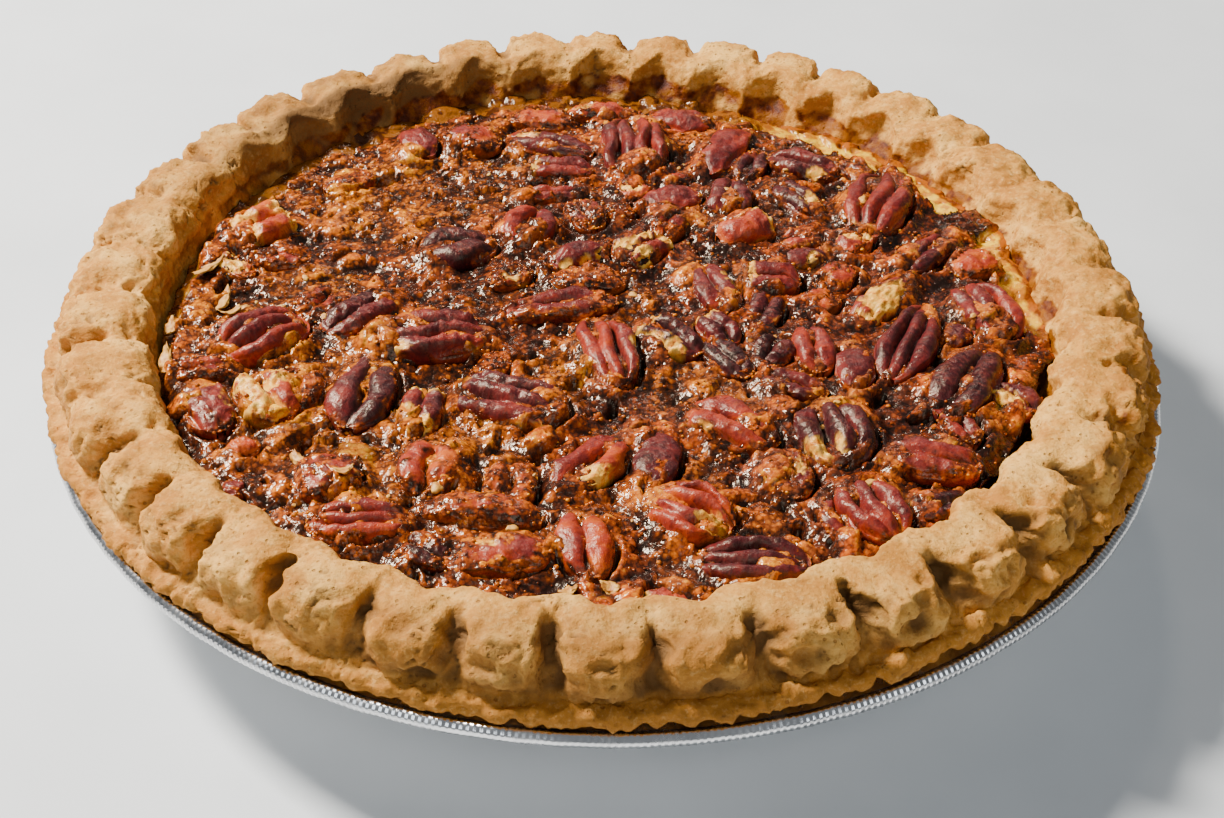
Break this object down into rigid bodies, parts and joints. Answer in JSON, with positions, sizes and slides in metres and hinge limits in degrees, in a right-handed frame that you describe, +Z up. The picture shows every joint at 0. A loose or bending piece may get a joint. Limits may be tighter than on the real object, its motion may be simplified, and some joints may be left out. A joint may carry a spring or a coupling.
{
  "type": "pecan pie",
  "caption": "Whole round pecan pie with a fluted pastry rim, a glossy set filling studded with pecan halves and pieces, in its own thin foil pan.",
  "frame": {"origin": "centre of the pan's flat underside, on the surface that the pie stands on", "axes": "+Z up out of the filling; the picture looks from the front along +Y and down; +X is to the right in it"},
  "size_m": [0.244, 0.244, 0.0428],
  "materials": {
    "foil": "thin bright rolled aluminium foil with fine creases and a crimped bead",
    "pastry": null,
    "filling": null,
    "pecan": null
  },
  "bodies": {
    "root": {"pan": "foil", "crust": "pastry", "filling": "filling", "pecan_01": "pecan", "pecan_02": "pecan", "pecan_03": "pecan", "pecan_04": "pecan", "pecan_05": "pecan", "pecan_06": "pecan", "pecan_07": "pecan", "pecan_08": "pecan", "pecan_09": "pecan", "pecan_10": "pecan", "pecan_11": "pecan", "pecan_12": "pecan", "pecan_13": "pecan", "pecan_14": "pecan", "pecan_15": "pecan", "pecan_16": "pecan", "pecan_17": "pecan", "pecan_18": "pecan", "pecan_19": "pecan", "pecan_20": "pecan", "pecan_21": "pecan", "pecan_22": "pecan", "pecan_23": "pecan", "pecan_24": "pecan", "pecan_25": "pecan", "pecan_26": "pecan", "pecan_27": "pecan", "pecan_28": "pecan", "pecan_29": "pecan", "pecan_30": "pecan", "pecan_31": "pecan", "pecan_32": "pecan", "pecan_33": "pecan", "pecan_34": "pecan", "pecan_35": "pecan", "pecan_36": "pecan", "pecan_37": "pecan", "pecan_38": "pecan", "pecan_39": "pecan", "pecan_40": "pecan", "pecan_41": "pecan", "pecan_42": "pecan", "pecan_43": "pecan", "pecan_44": "pecan", "pecan_45": "pecan", "pecan_46": "pecan", "pecan_47": "pecan", "pecan_48": "pecan", "pecan_49": "pecan", "pecan_50": "pecan", "pecan_51": "pecan", "pecan_52": "pecan", "pecan_53": "pecan", "pecan_54": "pecan", "pecan_55": "pecan", "pecan_56": "pecan", "pecan_57": "pecan"}
  },
  "joints": []
}
